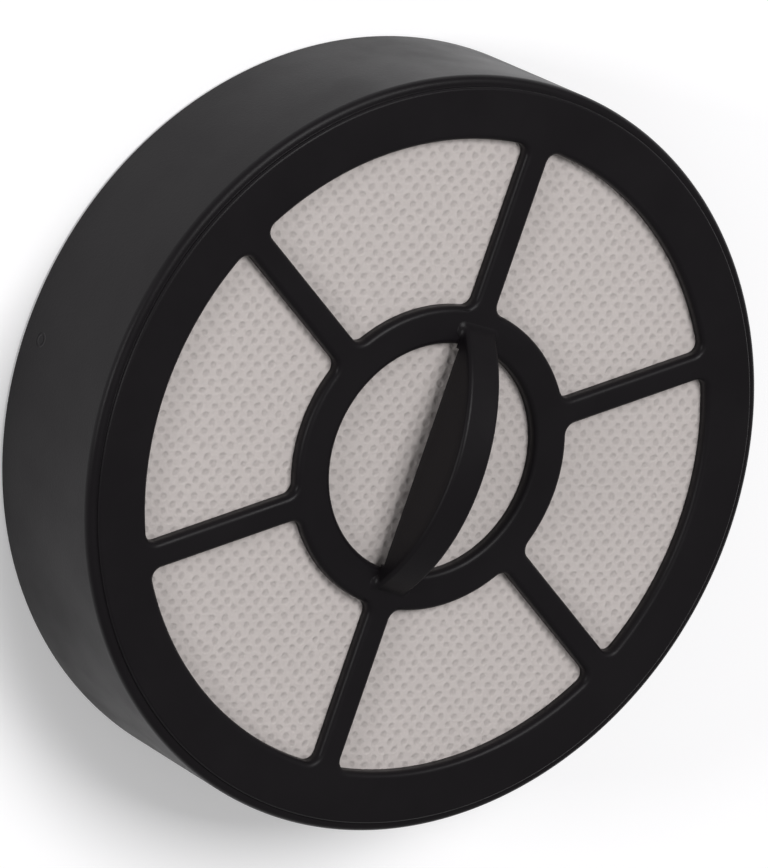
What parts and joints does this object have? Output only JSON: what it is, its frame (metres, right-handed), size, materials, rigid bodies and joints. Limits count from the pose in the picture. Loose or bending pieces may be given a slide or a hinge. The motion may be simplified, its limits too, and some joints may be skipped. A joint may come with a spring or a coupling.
{
  "type": "vacuum filter cartridge",
  "caption": "Round vacuum filter cartridge: a black moulded cup whose face has windows and a pull grip, over a white fibre sheet and a sealed pleated pack.",
  "frame": {"origin": "centre of the open rear rim, on the surface that the filter stands on", "axes": "+Z along the filter's axis from the rear rim towards the grille and the grip; +X along the grip; +Y across it"},
  "size_m": [0.13, 0.13, 0.0407],
  "materials": {
    "black_plastic": "satin moulded",
    "fibre_sheet": "point-bonded fibre web",
    "filter_paper": "pleated fibre paper",
    "hot_glue": "smooth set glue"
  },
  "bodies": {
    "root": {"housing": "black_plastic", "cover_sheet": "fibre_sheet", "pleated_pack": "filter_paper", "glue_lines": "hot_glue", "sealing_bead": "hot_glue"}
  },
  "joints": []
}
